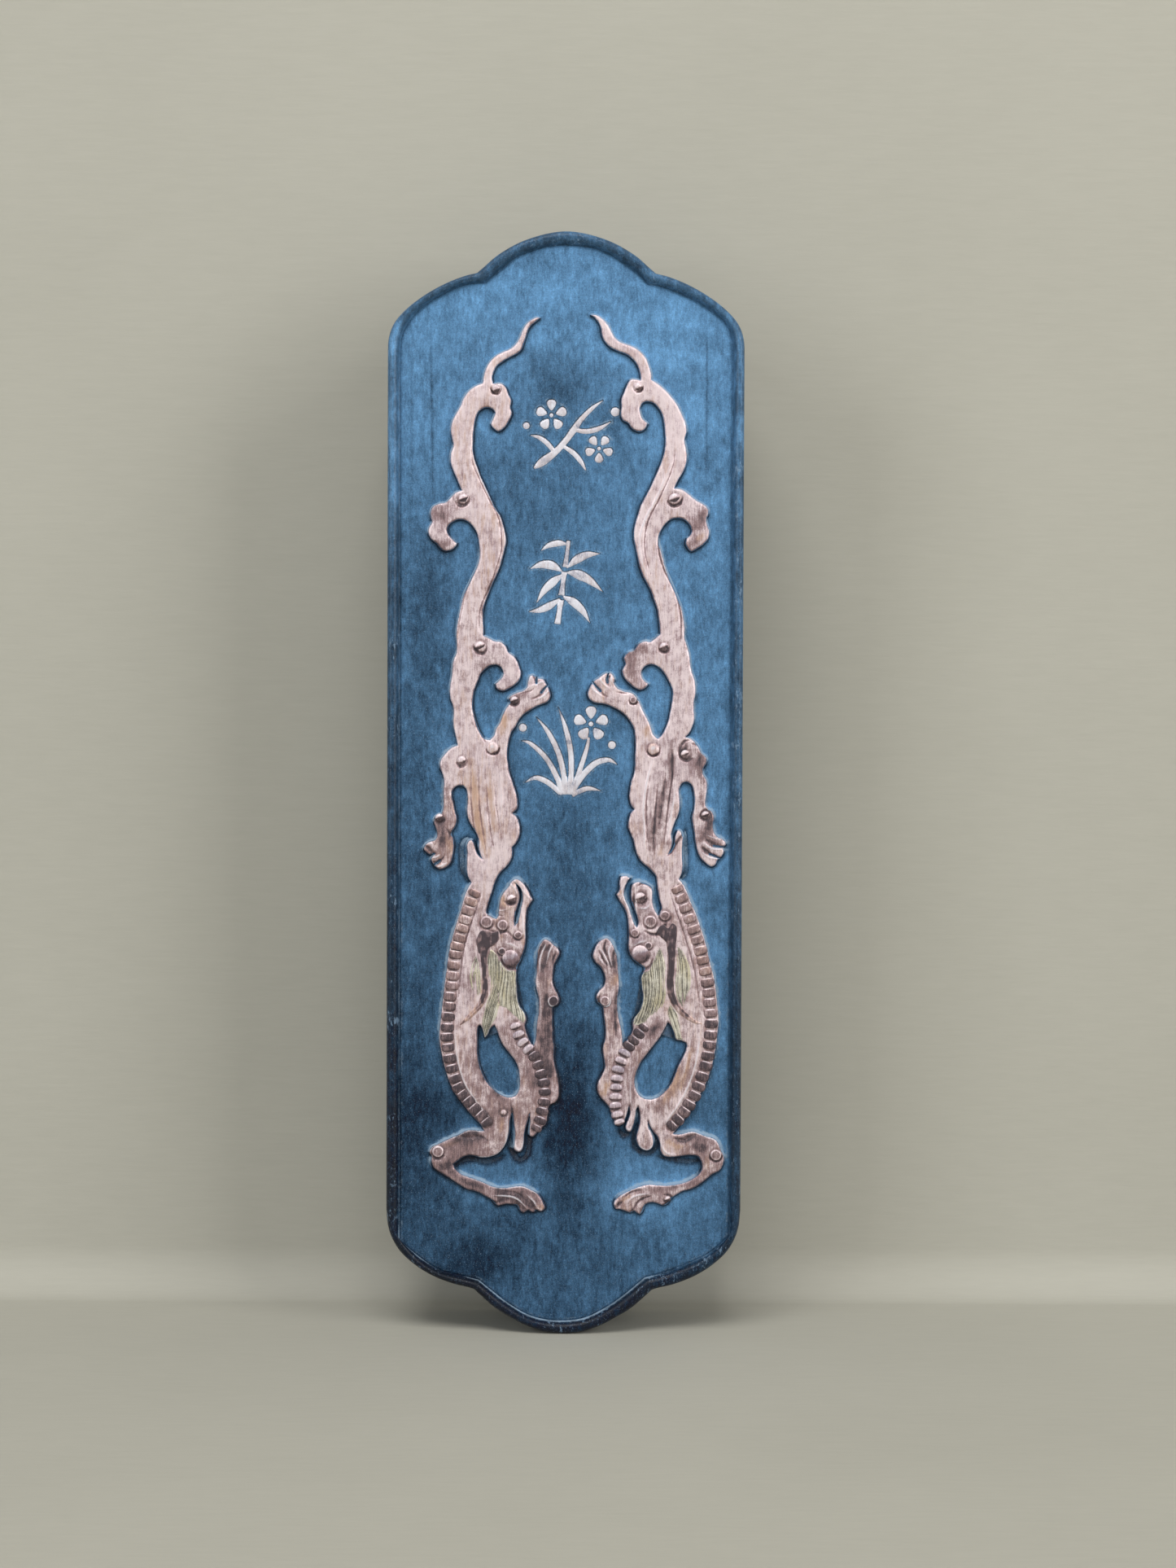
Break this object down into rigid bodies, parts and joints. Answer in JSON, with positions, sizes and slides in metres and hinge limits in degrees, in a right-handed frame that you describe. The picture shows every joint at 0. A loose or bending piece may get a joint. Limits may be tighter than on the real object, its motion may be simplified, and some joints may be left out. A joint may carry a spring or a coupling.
{
  "type": "ink stick",
  "caption": "Upright ink stick with lobed ends, a rounded bead rim round a sunken field, two mirrored dragons in low relief and a column of plant ornaments.",
  "frame": {"origin": "lowest point of the lower lobe, midway through the width and the thickness", "axes": "+Z along the length towards the upper end of the design, +X to the right of the decorated face, the decorated face looks to -Y"},
  "size_m": [0.071, 0.022, 0.22],
  "materials": {
    "ink": "satin",
    "copper_pigment": "satin",
    "gold_pigment": "satin",
    "silver_pigment": "matte"
  },
  "bodies": {
    "root": {"ink_body": "ink", "left_dragon": "copper_pigment", "right_dragon": "copper_pigment", "left_back_beads": "copper_pigment", "right_back_beads": "copper_pigment", "left_belly_beads": "copper_pigment", "right_belly_beads": "copper_pigment", "left_mane": "gold_pigment", "right_mane": "gold_pigment", "left_horn": "copper_pigment", "right_horn": "copper_pigment", "left_bosses": "copper_pigment", "right_bosses": "copper_pigment", "upper_motif": "silver_pigment", "middle_motif": "silver_pigment", "lower_motif": "silver_pigment"}
  },
  "joints": []
}
